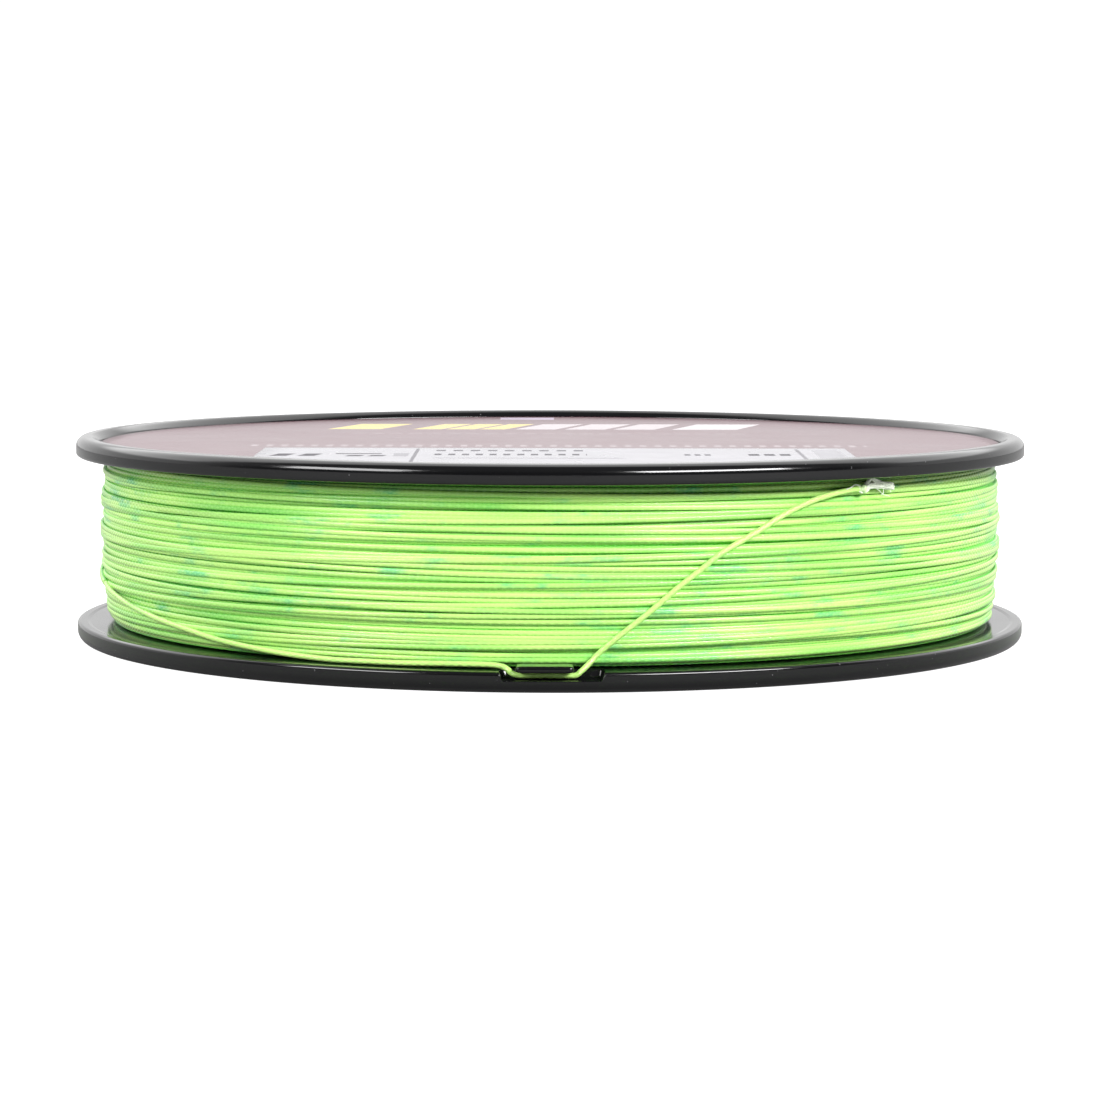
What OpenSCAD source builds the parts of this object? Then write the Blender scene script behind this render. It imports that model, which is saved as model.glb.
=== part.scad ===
// Filler spool of braided fishing line, lying on its lower flange.
// Two moulded halves snap together; the line is wound on the drum between them, and its free end
// is tucked under a springy tongue in the lower rim. Origin: centre of the lower resting face,
// +Z along the spool's axis, the line clip at the front (-Y). Millimetres.

/* [Flanges] */
// Outer diameter of both flanges
flange_d = 110; // [106:0.5:114]
// Overall width of the spool, from resting face to resting face
spool_h = 23.4; // [22:0.2:27]
// Thickness of the round rim bead
rim_t = 2.2; // [2.1:0.1:2.6]
// Radial width of the rim bead, from the label recess to the outside
rim_w = 2.6; // [2.3:0.1:3.2]
// Depth of the label recess in each outer face
recess_depth = 1.0; // [0.8:0.1:1.0]
// Thickness of the flat web between hub and rim
web_t = 1.1; // [0.9:0.1:1.1]

/* [Drum and hub] */
// Diameter of the drum that the line is wound on
drum_d = 86.6; // [76:0.2:90]
// Thickness of the drum wall
wall_t = 1.5; // [1.2:0.1:2]
// Diameter of the spindle bore
bore_d = 9.8; // [6:0.1:12]
// Thickness of the hub tube around the bore
hub_t = 2.6; // [2:0.1:4]
// Number of stiffening ribs inside each half
rib_count = 6; // [3:1:8]
// Number of snap hooks that hold the halves together
hook_count = 4; // [2:1:6]

/* [Line clip] */
// Width of the pocket moulded into the lower rim
pocket_w = 10.5; // [9:0.5:12]
// Width of the tongue over the pocket
tongue_w = 5.9; // [5:0.1:6.2]
// Thickness of the tongue
tongue_t = 0.7; // [0.5:0.05:0.9]

/* [Line] */
// Diameter of the line as it lies
line_d = 0.6; // [0.4:0.05:0.6]
// Largest diameter of the wound line, at the middle of its width
pack_d = 104.7; // [96:0.1:105]
// How much smaller the radius of the wound line is 10 mm away from its crown
pack_crown = 0.8; // [0:0.1:1.5]

/* [Labels] */
// Thickness of the two round labels
label_t = 0.2; // [0.1:0.05:0.3]
// Thickness of the size sticker on the top label
sticker_t = 0.1; // [0.05:0.05:0.15]
// Gap between a label's edge and the wall of its recess
label_gap = 0.3; // [0.1:0.1:0.6]

/* [Hidden] */

ROUND = 96;             // facets of round parts in a preview
flange_r = flange_d / 2;
rim_r = rim_t / 2;      // radius of the bead towards its resting face
rim_edge = 0.37;        // round on the bead's edge towards the line
rest_r = flange_r - 1.7; // the flat resting ring begins here
recess_lip = 0.8;       // depth at which the recess's sloping mouth meets its wall
recess_r = flange_r - rim_w;
web_in = recess_depth + web_t;
drum_r = drum_d / 2;
bore_r = bore_d / 2;
hub_r = bore_r + hub_t;
split_z = spool_h / 2;  // the halves meet here
lap = 1;                // half the height of the lap joint
lap_gap = 0.05;

// Stiffening and snap fit
rib_t = 1.2;
rib_h = 6;
hook_w = 5;
hook_t = 1.2;
hook_catch = 0.6;       // how far a hook's nose stands out
hook_gap = 0.2;
hook_z = 8.6;           // underside of the hook's nose
hook_nose = 1;

// Clip
pocket_x = 0.25;
pocket_floor = 1.3;
tongue_x = -0.5;
hinge_y = -flange_r + 3.8;
hinge_z = web_in - tongue_t / 2;
hinge_gap = 0.05;
tongue_tip = -flange_r + 0.1;
tongue_rise = 1;        // length of the sloping step from the web up to the tongue
tongue_root = 0.2;      // level stretch before that step

// Wound line
pack_low = web_in + 0.2;
pack_high = spool_h - web_in - 0.2;
pack_mid = 12.5;        // height of its crown
tape_t = 0.12;
tape_h = 14;
tape_turn = 75;         // degrees of the drum that the tape covers

// Labels
label_hole_r = 11;
sticker_edge_x = [-32, 33];
sticker_top_y = -16.5;
sticker_inset = 0.5;

// The line's free end: off the winding at the left, down to the lower flange, under the tongue,
// and up across the winding to the knot
LINE_ROUTE = [
    [-50.3, -14.0, 7.1], [-49.1, -18.0, 6.5], [-46.4, -24.0, 5.7], [-42.8, -29.9, 4.9],
    [-38.9, -34.6, 4.2], [-35.1, -38.4, 3.5], [-30.7, -41.9, 3.0], [-27.2, -44.2, 2.7],
    [-22.9, -46.6, 2.5], [-19.1, -48.2, 2.5], [-15.4, -49.5, 2.5], [-10.3, -50.9, 2.6],
    [-6.4, -51.6, 2.6], [-5.0, -52.1, 2.5], [-4.4, -52.6, 2.3], [-3.9, -52.9, 1.9],
    [-3.2, -53.1, 1.7], [-2.0, -53.2, 1.7], [-0.5, -53.2, 1.7], [1.2, -53.2, 1.7],
    [2.6, -53.1, 1.7], [3.2, -52.9, 2.1], [3.8, -52.5, 2.6], [4.3, -52.2, 3.1],
    [5.0, -51.9, 3.8], [7.0, -51.8, 5.5], [10.3, -51.5, 8.1], [12.9, -51.0, 10.3],
    [15.5, -50.3, 12.3], [17.6, -49.6, 13.9], [19.7, -48.8, 15.1], [21.7, -47.9, 16.2],
    [24.1, -46.6, 17.6], [26.8, -45.0, 18.8], [29.2, -43.5, 19.5], [31.4, -42.0, 19.9],
    [32.6, -41.2, 20.0]
];
KNOT_TIP = [36.4, -38.0, 20.0];
knot_r = 0.6;
tube_sides = 8;
rings_per_span = 2;

// ---------- shared shapes ----------

// Points of an arc in the r-z plane
function arc(c, r, from, to, steps = 10) =
    [for (i = [0:steps]) let (a = from + (to - from) * i / steps) [c[0] + r * cos(a), c[1] + r * sin(a)]];

// One flange in section: web, label recess with a sloping mouth, and rim bead, outer face at z = 0
module flange_section() {
    mouth = rest_r - recess_r;
    polygon(concat(
        [[bore_r, recess_depth], [recess_r, recess_depth]],
        [for (i = [0:8]) [recess_r + mouth * i / 8, recess_lip * pow(1 - i / 8, 1.6)]],
        arc([flange_r - rim_r, rim_r], rim_r, -90, 0, 10),
        arc([flange_r - rim_edge, rim_t - rim_edge], rim_edge, 0, 90, 6),
        [[flange_r - rim_r, rim_t], [flange_r - rim_r - 0.4, web_in], [bore_r, web_in]]
    ));
}

// A ring with a square section
module ring(outer, inner, low, high) {
    translate([0, 0, low])
        difference() {
            cylinder(r = outer, h = high - low, $fn = ROUND);
            translate([0, 0, -1]) cylinder(r = inner, h = high - low + 2, $fn = ROUND);
        }
}

// Ribs between hub tube and drum wall, standing on the web
module ribs() {
    for (i = [0:rib_count - 1])
        rotate([0, 0, 360 * i / rib_count])
            translate([hub_r - 0.3, -rib_t / 2, web_in - 0.2])
                cube([drum_r - wall_t - hub_r + 0.6, rib_t, rib_h]);
}

// One place for each snap hook, halfway between ribs
module at_hooks() {
    for (i = [0:hook_count - 1]) rotate([0, 0, 360 * i / hook_count + 15]) children();
}

// ---------- spool ----------

// Lower half: flange with the clip pocket, outer part of the lap joint, and windows for the hooks
module lower_spool_half() {
    color([0.03, 0.03, 0.03])
        difference() {
            union() {
                rotate_extrude($fn = ROUND) flange_section();
                ring(drum_r, drum_r - wall_t, web_in - 0.2, split_z - lap);
                ring(drum_r, drum_r - wall_t / 2 + lap_gap / 2, split_z - lap - 0.1, split_z + lap);
                ring(hub_r, bore_r, web_in - 0.2, split_z - lap);
                ring(hub_r, bore_r + hub_t / 2 + lap_gap / 2, split_z - lap - 0.1, split_z + lap);
                ribs();
            }
            // pocket under the tongue, open to the outside of the rim
            translate([pocket_x - pocket_w / 2, -flange_r - 1, pocket_floor])
                cube([pocket_w, flange_r + 1 + hinge_y, rim_t]);
            // seat that the tongue bends in
            translate([tongue_x - tongue_w / 2 - hinge_gap, hinge_y, hinge_z])
                rotate([0, 90, 0])
                    cylinder(r = tongue_t / 2 + hinge_gap, h = tongue_w + 2 * hinge_gap, $fn = ROUND);
            // hook windows, inside the drum wall
            at_hooks()
                translate([drum_r - wall_t - 1, -hook_w / 2 - hook_gap, hook_z - hook_gap])
                    cube([1 + hook_catch + hook_gap, hook_w + 2 * hook_gap, hook_nose + 2 * hook_gap]);
        }
}

// Upper half: the same flange turned over, inner part of the lap joint, and the snap hooks
module upper_spool_half() {
    hook_r = drum_r - wall_t - hook_gap;
    color([0.03, 0.03, 0.03])
        union() {
            translate([0, 0, spool_h])
                mirror([0, 0, 1]) {
                    rotate_extrude($fn = ROUND) flange_section();
                    ribs();
                }
            ring(drum_r, drum_r - wall_t, split_z + lap + lap_gap, spool_h - web_in + 0.2);
            ring(drum_r - wall_t / 2 - lap_gap / 2, drum_r - wall_t,
                 split_z - lap + lap_gap, split_z + lap + 0.2);
            ring(hub_r, bore_r, split_z + lap + lap_gap, spool_h - web_in + 0.2);
            ring(bore_r + hub_t / 2 - lap_gap / 2, bore_r,
                 split_z - lap + lap_gap, split_z + lap + 0.2);
            at_hooks() {
                translate([hook_r - hook_t, -hook_w / 2, hook_z])
                    cube([hook_t, hook_w, spool_h - web_in + 0.2 - hook_z]);
                translate([hook_r - 0.1, -hook_w / 2, hook_z])
                    cube([hook_catch + 0.1, hook_w, hook_nose]);
            }
        }
}

// Tongue in section, along the radius: a round root in its seat, a step up, and a level tip
module tongue_section() {
    half = tongue_t / 2;
    step = -(tongue_root + tongue_rise);
    tip = tongue_tip - hinge_y;
    polygon(concat(
        [[0, half], [-tongue_root, half], [step, half + tongue_t]],
        arc([tip + half, tongue_t], half, 90, 270, 8),
        [[step, half], [-tongue_root, -half], [0, -half]]
    ));
    circle(r = half, $fn = ROUND);
}

module line_clip_tongue() {
    color([0.03, 0.03, 0.03])
        translate([tongue_x - tongue_w / 2, hinge_y, hinge_z])
            rotate([90, 0, 90])
                linear_extrude(height = tongue_w) tongue_section();
}

// ---------- line ----------

// Strip that holds the first turns on the drum
module arbor_tape() {
    color([0.85, 0.8, 0.6])
        translate([0, 0, split_z - tape_h / 2])
            rotate_extrude(angle = tape_turn, $fn = ROUND)
                translate([drum_r + 0.01, 0]) square([tape_t, tape_h]);
}

// Radius of the wound line at height z: a crown that falls off with the square of the distance
function pack_r(z) = pack_d / 2 - pack_crown * pow((z - pack_mid) / 10, 2);

// All turns of the line as one ring, crowned like the real winding
module wound_line() {
    steps = 12;
    inner = drum_r + tape_t + 0.03;
    color([0.6, 0.9, 0.35])
        rotate_extrude($fn = ROUND)
            polygon(concat(
                [[inner, pack_high], [inner, pack_low]],
                [for (i = [0:steps]) let (z = pack_low + (pack_high - pack_low) * i / steps) [pack_r(z), z]]
            ));
}

// Catmull-Rom curve through p1 and p2
function curve(p0, p1, p2, p3, t) =
    0.5 * (2 * p1 + (p2 - p0) * t + (2 * p0 - 5 * p1 + 4 * p2 - p3) * t * t
           + (3 * p1 - p0 - 3 * p2 + p3) * t * t * t);
function smooth_route(p, n) = let (last = len(p) - 1) concat(
    [for (i = [0:last - 1], k = [0:n - 1])
        curve(p[max(i - 1, 0)], p[i], p[i + 1], p[min(i + 2, last)], k / n)],
    [p[last]]);
function unit(v) = v / norm(v);

// A round tube swept along points: its rings stand square to the way, with their first side outwards
module tube(points, r, sides) {
    last = len(points) - 1;
    rings = [for (i = [0:last])
        let (way = unit(points[min(i + 1, last)] - points[max(i - 1, 0)]),
             out = unit([points[i][0], points[i][1], 0]),
             across = unit(out - (out * way) * way),
             along = cross(way, across))
        for (k = [0:sides - 1])
            let (a = 360 * k / sides) points[i] + r * (cos(a) * across + sin(a) * along)];
    sides_faces = [for (i = [0:last - 1], k = [0:sides - 1])
        let (a = i * sides + k, b = i * sides + (k + 1) % sides) [a, b, b + sides, a + sides]];
    polyhedron(rings, concat(
        [for (f = sides_faces) [f[3], f[2], f[1], f[0]]],
        [[for (k = [0:sides - 1]) k]],
        [[for (k = [0:sides - 1]) last * sides + sides - 1 - k]]
    ));
}

module line_end() {
    color([0.75, 0.95, 0.45])
        tube(smooth_route(LINE_ROUTE, rings_per_span), line_d / 2, tube_sides);
}

// The knot, and the short frayed tip beyond it
module end_knot() {
    knot = LINE_ROUTE[len(LINE_ROUTE) - 1];
    way = unit(KNOT_TIP - knot);
    color([0.9, 0.97, 0.8]) {
        hull() {
            translate(knot + way * 0.3) sphere(r = knot_r, $fn = 20);
            translate(knot + way * 1.1) sphere(r = knot_r * 0.8, $fn = 20);
        }
        hull() {
            translate(knot + way * 1.1) sphere(r = line_d / 2, $fn = 16);
            translate(KNOT_TIP) sphere(r = line_d / 2, $fn = 16);
        }
    }
}

// ---------- labels ----------

module top_label() {
    color([0.25, 0.22, 0.24])
        translate([0, 0, spool_h - recess_depth])
            cylinder(r = recess_r - label_gap, h = label_t, $fn = ROUND);
}

// Sticker that follows the label's edge at the front and is cut straight on its other sides
module size_sticker() {
    color([0.9, 0.9, 0.92])
        translate([0, 0, spool_h - recess_depth + label_t])
            intersection() {
                cylinder(r = recess_r - label_gap - sticker_inset, h = sticker_t, $fn = ROUND);
                translate([sticker_edge_x[0], -flange_r, -1])
                    cube([sticker_edge_x[1] - sticker_edge_x[0], flange_r + sticker_top_y, 3]);
            }
}

module lower_label() {
    color([0.8, 0.8, 0.8])
        ring(recess_r - label_gap, label_hole_r, recess_depth - label_t, recess_depth);
}

lower_spool_half();
upper_spool_half();
line_clip_tongue();
arbor_tape();
wound_line();
line_end();
end_knot();
top_label();
size_sticker();
lower_label();
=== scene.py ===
# %% [markdown]
# # A filler spool of braided fishing line
# A black moulded spool lies on its lower flange, full of lime-green braid. The line's free end is
# tucked under a small springy tongue in the lower rim and runs up across the winding to a knot.
# The CAD part gives the places; this lesson makes the surfaces, the strands and the finishes.

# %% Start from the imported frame
import math

import bpy
import numpy as np
from mathutils import Matrix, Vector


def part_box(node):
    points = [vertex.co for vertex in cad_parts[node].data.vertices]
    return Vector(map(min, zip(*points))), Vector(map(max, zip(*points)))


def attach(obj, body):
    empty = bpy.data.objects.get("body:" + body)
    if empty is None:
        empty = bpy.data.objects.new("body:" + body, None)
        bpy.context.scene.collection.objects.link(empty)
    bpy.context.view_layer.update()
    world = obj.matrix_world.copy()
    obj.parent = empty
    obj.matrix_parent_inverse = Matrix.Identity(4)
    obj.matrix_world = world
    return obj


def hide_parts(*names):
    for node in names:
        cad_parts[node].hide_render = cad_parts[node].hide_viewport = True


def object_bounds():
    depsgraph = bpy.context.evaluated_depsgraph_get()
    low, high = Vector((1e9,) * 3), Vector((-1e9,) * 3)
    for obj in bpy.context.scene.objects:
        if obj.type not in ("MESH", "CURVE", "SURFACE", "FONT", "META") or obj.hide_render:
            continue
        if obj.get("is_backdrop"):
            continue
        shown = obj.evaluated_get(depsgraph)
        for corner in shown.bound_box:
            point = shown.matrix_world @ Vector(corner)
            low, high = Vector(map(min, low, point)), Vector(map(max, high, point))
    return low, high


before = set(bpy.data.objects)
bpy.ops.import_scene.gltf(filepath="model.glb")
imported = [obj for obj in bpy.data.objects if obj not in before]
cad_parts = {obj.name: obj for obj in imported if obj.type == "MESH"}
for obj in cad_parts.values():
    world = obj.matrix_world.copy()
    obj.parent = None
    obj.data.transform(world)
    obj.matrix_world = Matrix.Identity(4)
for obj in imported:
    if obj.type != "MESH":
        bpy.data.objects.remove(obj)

CAD_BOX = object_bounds()
MM = 0.001

# %% [markdown]
# ## Sizes from the frame
# A piece goes where the CAD says, so the few sizes that everything hangs on are read from the boxes
# of the CAD nodes. The rim's section, the drum, the bore and the line itself have no box of their
# own, so their numbers are the design's.

# %% Read the driving sizes
SPOOL_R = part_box("lower_spool_half")[1].x
SPOOL_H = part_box("upper_spool_half")[1].z
LABEL_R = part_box("top_label")[1].x
LABEL_LOW, LABEL_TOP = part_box("top_label")[0].z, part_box("top_label")[1].z
PACK_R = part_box("wound_line")[1].x
PACK_LOW, PACK_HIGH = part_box("wound_line")[0].z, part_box("wound_line")[1].z
RECESS = SPOOL_H - LABEL_LOW
LABEL_GAP, WEB_T = 0.3 * MM, 1.1 * MM
RECESS_R = LABEL_R + LABEL_GAP
RIM_T = 2.2 * MM
WEB_IN = RECESS + WEB_T
DRUM_R = 43.3 * MM
BORE_R = 4.9 * MM
LINE_D = 0.6 * MM
print("spool", round(2 * SPOOL_R, 4), "x", round(SPOOL_H, 4), "winding radius", round(PACK_R, 4))

# %% [markdown]
# ## Camera
# The spool is seen almost from the side with a long lens: the eye is 0.4 m from the axis and looks
# down about five degrees, so the top label is a thin ellipse. The camera's axes are written as a
# matrix, because that keeps the tiny roll exact.

# %% Place the camera
EYE = (0.0, -0.400, 0.0464)
PITCH, ROLL = 0.09155, 0.0018
LENS, SENSOR = 111.98, 36.0


def camera_axes(pitch, roll):
    """Right, up and back: level axes tipped down by pitch about X, then rolled about the view."""
    ahead = np.array([0.0, math.cos(pitch), -math.sin(pitch)])
    right = np.array([1.0, 0.0, 0.0])
    up = np.cross(right, ahead)
    tilted = right * math.cos(roll) + up * math.sin(roll)
    return np.stack([tilted, np.cross(-ahead, tilted), -ahead], axis=1)


camera_data = bpy.data.cameras.new("camera")
camera_data.lens, camera_data.sensor_width = LENS, SENSOR
camera_data.clip_start, camera_data.clip_end = 0.02, 20.0
camera = bpy.data.objects.new("camera", camera_data)
camera.matrix_world = Matrix.Translation(EYE) @ Matrix(camera_axes(PITCH, ROLL).tolist()).to_4x4()
bpy.context.scene.collection.objects.link(camera)
bpy.context.scene.camera = camera
print("camera at", EYE, "lens", LENS)

# %% [markdown]
# ## Meshes from grids
# Every new surface here is a function of two parameters: a ring of points carried along a path, or
# a profile carried round the axis. So one helper turns a grid of points into a mesh. Rows that
# close on themselves share their points, and open ends are closed with a fan, so there is no seam.

# %% Helpers that make a mesh


def grid_quads(rows, cols, close_rows, close_cols):
    """Quads between neighbours of a rows x cols grid; a closed direction joins its last to its first."""
    i = np.arange(rows if close_rows else rows - 1)[:, None]
    j = np.arange(cols if close_cols else cols - 1)[None, :]
    i2, j2 = (i + 1) % rows, (j + 1) % cols
    corners = [i * cols + j, i * cols + j2, i2 * cols + j2, i2 * cols + j]
    return np.stack([np.broadcast_to(c, (i.size, j.size)) for c in corners], axis=-1).reshape(-1, 4)


def signed_volume(points, quads):
    """Sum of a . (b x c) / 6 over the triangles: positive where the faces point outwards."""
    a, b, c, d = (points[quads[:, k]] for k in range(4))
    return float(((a * np.cross(b, c)).sum() + (a * np.cross(c, d)).sum()) / 6)


def unwrapped(loop_uv, quad_count):
    """Where a quad goes round the seam, from v near 1 to v near 0, its low corners get v + 1."""
    sides = loop_uv[:4 * quad_count].reshape(-1, 4, 2)
    v = sides[..., 1]
    over = (v.max(1) - v.min(1) > 0.5) & (v.max(1) < 1.0) & (v.min(1) < 0.01)
    v[over] += v[over] < 0.5
    return loop_uv


def build_mesh(name, points, quads, triangles=None, uv=None):
    """A smooth mesh object at the origin. uv is one (u, v) per point."""
    triangles = np.zeros((0, 3), int) if triangles is None else triangles
    if signed_volume(points, quads) < 0:
        quads, triangles = quads[:, ::-1], triangles[:, ::-1]
    loops = np.concatenate([quads.ravel(), triangles.ravel()]).astype(np.int32)
    starts = np.concatenate([np.arange(len(quads)) * 4, 4 * len(quads) + np.arange(len(triangles)) * 3])
    mesh = bpy.data.meshes.new(name)
    mesh.vertices.add(len(points))
    mesh.vertices.foreach_set("co", points.astype(np.float32).ravel())
    mesh.loops.add(len(loops))
    mesh.loops.foreach_set("vertex_index", loops)
    mesh.polygons.add(len(starts))
    mesh.polygons.foreach_set("loop_start", starts.astype(np.int32))
    mesh.polygons.foreach_set("use_smooth", np.ones(len(starts), bool))
    if uv is not None:
        layer = mesh.uv_layers.new(name="UVMap")
        layer.data.foreach_set("uv", unwrapped(uv[loops], len(quads)).astype(np.float32).ravel())
    mesh.update(calc_edges=True)
    mesh.validate()
    made = bpy.data.objects.new(name, mesh)
    bpy.context.scene.collection.objects.link(made)
    print(f"{name}: {len(points)} points, {2 * len(quads) + len(triangles)} triangles")
    return made


def tube_mesh(name, rings, uv=None):
    """A tube from its rings, an array (rings, sides, 3), with a fan of triangles over each end."""
    count, sides = rings.shape[:2]
    points = np.concatenate([rings.reshape(-1, 3), rings[:1].mean(1), rings[-1:].mean(1)])
    k = np.arange(sides)
    first = np.stack([k, (k + 1) % sides, np.full(sides, count * sides)], axis=1)
    last = np.stack([(k + 1) % sides, k, np.full(sides, 1)], axis=1) + (count - 1) * sides
    last[:, 2] = count * sides + 1
    quads = grid_quads(count, sides, False, True)
    if uv is not None:
        uv = np.concatenate([uv.reshape(-1, 2), uv[:1].mean(1), uv[-1:].mean(1)])
    return build_mesh(name, points, quads, np.concatenate([first[:, ::-1], last[:, ::-1]]), uv)


def finish_piece(piece, body, material):
    """Gives a piece its finish and makes it ride on its body."""
    piece.data.materials.append(material)
    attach(piece, body)
    return piece


# %% [markdown]
# ## The route of the line's free end
# The last stretch of the braid leaves the winding at the left, slopes down to the lower flange,
# dips under the tongue of the clip and runs up across the winding to its knot. It is one piece of
# line of fixed length, so its route comes first: the points of the CAD cord, joined by a smooth
# curve. The route passes through its points because each span is a Catmull-Rom curve.

# %% The cord's centreline
LINE_ROUTE = np.array([
    [-50.3, -14.0, 7.1], [-49.1, -18.0, 6.5], [-46.4, -24.0, 5.7], [-42.8, -29.9, 4.9],
    [-38.9, -34.6, 4.2], [-35.1, -38.4, 3.5], [-30.7, -41.9, 3.0], [-27.2, -44.2, 2.7],
    [-22.9, -46.6, 2.5], [-19.1, -48.2, 2.5], [-15.4, -49.5, 2.5], [-10.3, -50.9, 2.6],
    [-6.4, -51.6, 2.6], [-5.0, -52.1, 2.5], [-4.4, -52.6, 2.3], [-3.9, -52.9, 1.9],
    [-3.2, -53.1, 1.7], [-2.0, -53.2, 1.7], [-0.5, -53.2, 1.7], [1.2, -53.2, 1.7],
    [2.6, -53.1, 1.7], [3.2, -52.9, 2.1], [3.8, -52.5, 2.6], [4.3, -52.2, 3.1],
    [5.0, -51.9, 3.8], [7.0, -51.8, 5.5], [10.3, -51.5, 8.1], [12.9, -51.0, 10.3],
    [15.5, -50.3, 12.3], [17.6, -49.6, 13.9], [19.7, -48.8, 15.1], [21.7, -47.9, 16.2],
    [24.1, -46.6, 17.6], [26.8, -45.0, 18.8], [29.2, -43.5, 19.5], [31.4, -42.0, 19.9],
    [32.6, -41.2, 20.0],
]) * MM
KNOT_TIP = np.array([36.4, -38.0, 20.0]) * MM


def catmull_rom(points, per_span):
    """A curve through the points, per_span steps from each one to the next.

    A span is (2 p1 + (p2 - p0) t + (2 p0 - 5 p1 + 4 p2 - p3) t^2 + (3 p1 - p0 - 3 p2 + p3) t^3) / 2.
    """
    padded = np.concatenate([points[:1], points, points[-1:]])
    p0, p1, p2, p3 = (padded[k:len(points) - 1 + k, None] for k in range(4))
    t = (np.arange(per_span) / per_span)[None, :, None]
    spans = 0.5 * (2 * p1 + (p2 - p0) * t + (2 * p0 - 5 * p1 + 4 * p2 - p3) * t**2
                   + (3 * p1 - p0 - 3 * p2 + p3) * t**3)
    return np.concatenate([spans.reshape(-1, 3), points[-1:]])


def evenly(points, step):
    """The same curve with points a fixed arc length apart."""
    along = np.concatenate([[0], np.cumsum(np.linalg.norm(np.diff(points, axis=0), axis=1))])
    at = np.linspace(0, along[-1], int(round(along[-1] / step)) + 1)
    return np.stack([np.interp(at, along, points[:, k]) for k in range(3)], axis=1), at


end_path, end_along = evenly(catmull_rom(LINE_ROUTE, 24), 0.1 * MM)
print("free end is", round(end_along[-1] * 1000, 1), "mm long,", len(end_path), "rings")

# %% [markdown]
# ## Shared shader groups
# Three effects come back in several finishes, so each is a node group with named inputs and is
# built once: fine wear (hairline scratches, dust and a slow change of gloss), the braid's weave,
# and a row of printed bars. A group gives out only masks, colours and heights; the shader itself
# stays in each material.

# %% Helpers for node trees


class Nodes:
    """Short ways to add nodes to a tree and wire them."""

    def __init__(self, tree):
        self.tree = tree

    def add(self, kind, inputs=None, **settings):
        made = self.tree.nodes.new("ShaderNode" + kind)
        for key, value in settings.items():
            setattr(made, key, value)
        for key, value in (inputs or {}).items():
            self.feed(made.inputs[key], value)
        return made

    def feed(self, socket, value):
        if isinstance(value, bpy.types.NodeSocket):
            self.tree.links.new(value, socket)
        else:
            socket.default_value = value

    def math(self, operation, a, b=0.0, c=0.0):
        return self.add("Math", {0: a, 1: b, 2: c}, operation=operation).outputs[0]

    def mix(self, factor, a, b):
        made = self.add("Mix", data_type="RGBA")
        for key, value in ((0, factor), (6, a), (7, b)):
            self.feed(made.inputs[key], value)
        return made.outputs[2]

    def ramp(self, value, low, high, to_low=0.0, to_high=1.0):
        """From to_low at low to to_high at high, by 3 x^2 - 2 x^3."""
        made = self.add("MapRange", {0: value, 1: low, 2: high, 3: to_low, 4: to_high})
        made.interpolation_type = "SMOOTHSTEP"
        return made.outputs[0]

    def noise(self, vector, scale, detail=2.0, roughness=0.5):
        return self.add("TexNoise", {"Vector": vector, "Scale": scale, "Detail": detail,
                                     "Roughness": roughness}).outputs["Fac"]

    def stretched(self, vector, scale):
        return self.add("Mapping", {"Vector": vector, "Scale": scale}).outputs[0]


def shader_group(name, inputs, outputs):
    """An empty node group with the named sockets; returns it, its Nodes and its two end nodes."""
    group = bpy.data.node_groups.new(name, "ShaderNodeTree")
    for label, kind, value in inputs:
        socket = group.interface.new_socket(name=label, in_out="INPUT", socket_type="NodeSocket" + kind)
        if value is not None:
            socket.default_value = value
    for label, kind in outputs:
        group.interface.new_socket(name=label, in_out="OUTPUT", socket_type="NodeSocket" + kind)
    return group, Nodes(group), group.nodes.new("NodeGroupInput"), group.nodes.new("NodeGroupOutput")


def new_material(name, colour, roughness, **sockets):
    """A material with one Principled shader; constants go straight onto its sockets."""
    material = bpy.data.materials.new(name)
    material.use_nodes = True
    material.diffuse_color = (*colour, 1.0)
    shader = material.node_tree.nodes["Principled BSDF"]
    shader.inputs["Base Color"].default_value = (*colour, 1.0)
    shader.inputs["Roughness"].default_value = roughness
    for key, value in sockets.items():
        shader.inputs[key.replace("_", " ")].default_value = value
    return material, Nodes(material.node_tree), shader


# %% [markdown]
# ### Fine wear
# Handled plastic is never perfectly even. Long thin noise gives hairlines in two directions, fine
# noise gives specks of dust, and slow noise changes the gloss from place to place.

# %% The fine wear group
wear_group, g, g_in, g_out = shader_group(
    "fine_wear",
    [("Vector", "Vector", None), ("Hairlines", "Float", 1.0), ("Dust", "Float", 1.0)],
    [("Height", "Float"), ("Dust mask", "Float"), ("Gloss shift", "Float")])
hair_x = g.noise(g.stretched(g_in.outputs["Vector"], (90, 2200, 2200)), 1.0, 3.0, 0.6)
hair_y = g.noise(g.stretched(g_in.outputs["Vector"], (2400, 110, 2400)), 1.0, 3.0, 0.6)
hairs = g.math("ADD", g.ramp(hair_x, 0.66, 0.80), g.ramp(hair_y, 0.67, 0.82))
specks = g.ramp(g.noise(g_in.outputs["Vector"], 2600.0, 1.0), 0.765, 0.83)
patches = g.noise(g_in.outputs["Vector"], 70.0, 3.0)
g.feed(g_out.inputs["Height"], g.math("MULTIPLY", hairs, g_in.outputs["Hairlines"]))
g.feed(g_out.inputs["Dust mask"], g.math("MULTIPLY", specks, g_in.outputs["Dust"]))
g.feed(g_out.inputs["Gloss shift"], g.math("SUBTRACT", patches, 0.5))
print("group fine_wear")

# %% [markdown]
# ### Braid weave
# Eight flat carriers, four each way, cross over and under each other. Along a strand (u, in metres)
# and round it (v, from 0 to 1) the two families of carriers are the waves
# sin(2 pi (u / pitch + 4 v)) and sin(2 pi (u / pitch - 4 v)); the higher of the two lies on top.

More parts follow.
